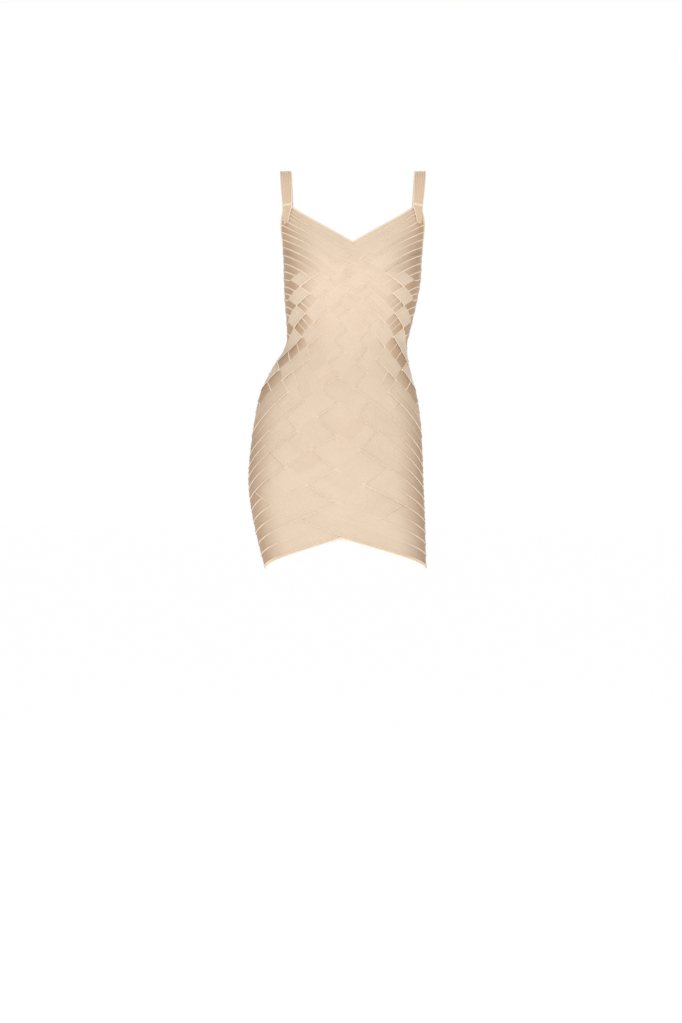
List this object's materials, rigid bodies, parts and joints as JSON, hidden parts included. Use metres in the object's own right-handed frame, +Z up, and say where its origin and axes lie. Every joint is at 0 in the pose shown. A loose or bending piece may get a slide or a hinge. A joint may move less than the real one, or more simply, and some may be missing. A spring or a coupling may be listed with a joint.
{
  "type": "bandage knit bodycon mini dress",
  "caption": "Sleeveless fitted mini dress of criss-cross knitted bands with a V neck, two shoulder straps and a hem that rises to a point at the centre, in its worn hollow form.",
  "frame": {"origin": "midway between the crowns of the two shoulder straps, where the wearer's shoulders hold the dress", "axes": "+Z up; the front faces -Y; +X is to the right of a viewer who faces the front"},
  "size_m": [0.3343, 0.2494, 0.7492],
  "materials": {
    "bandage_knit": "ribbed knit bands with a soft sheen",
    "knit_edge": "rolled knit edge, lighter and finely ribbed"
  },
  "bodies": {
    "root": {"front_panel": "bandage_knit", "back_panel_left": "bandage_knit", "back_panel_right": "bandage_knit", "strap_left": "bandage_knit", "strap_right": "bandage_knit", "neck_binding_left": "knit_edge", "neck_binding_right": "knit_edge", "back_neck_binding_left": "knit_edge", "back_neck_binding_right": "knit_edge", "armhole_binding_left": "knit_edge", "armhole_binding_right": "knit_edge", "hem_binding_front_left": "knit_edge", "hem_binding_front_right": "knit_edge", "hem_binding_back_left": "knit_edge", "hem_binding_back_right": "knit_edge"}
  },
  "joints": []
}
